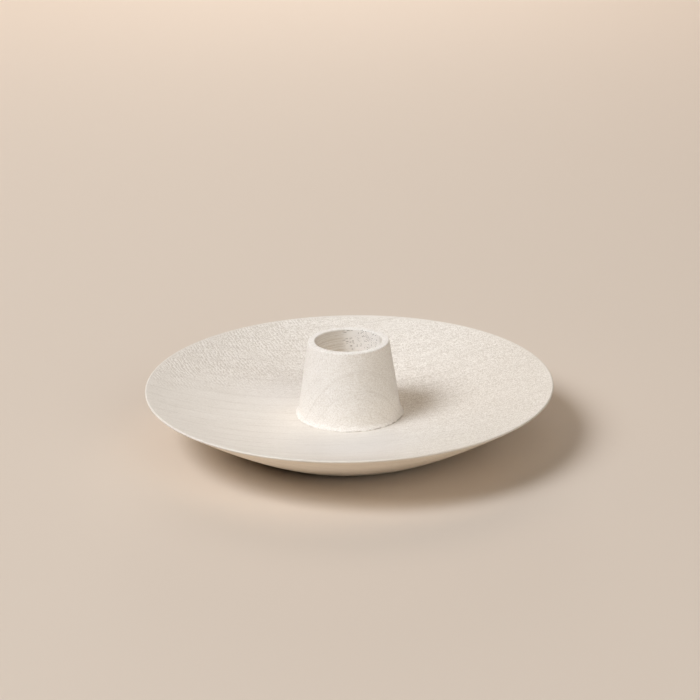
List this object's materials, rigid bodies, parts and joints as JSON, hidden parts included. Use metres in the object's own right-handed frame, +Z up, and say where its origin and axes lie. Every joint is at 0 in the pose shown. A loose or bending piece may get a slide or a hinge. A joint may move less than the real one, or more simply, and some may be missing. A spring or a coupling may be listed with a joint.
{
  "type": "taper candle holder",
  "caption": "Shallow turned wooden dish with a tapered socket at its centre that holds a taper candle upright and catches its wax.",
  "frame": {"origin": "on the surface that the holder stands on, at the centre of the felt pad's lower face, on the axis of the turning", "axes": "+Z up along the axis of the turning and of the candle, +X to the right and -Y towards the viewer of the picture"},
  "size_m": [0.14, 0.14, 0.0336],
  "materials": {
    "dish_wood": "bleached and limed, matt, unvarnished",
    "socket_wood": "bleached and limed, matt, unvarnished",
    "pad_felt": "pressed wool felt",
    "screw_steel": "bright zinc plated"
  },
  "bodies": {
    "root": {"dish": "dish_wood", "candle_socket": "socket_wood", "base_pad": "pad_felt", "fixing_screw": "screw_steel"}
  },
  "joints": []
}
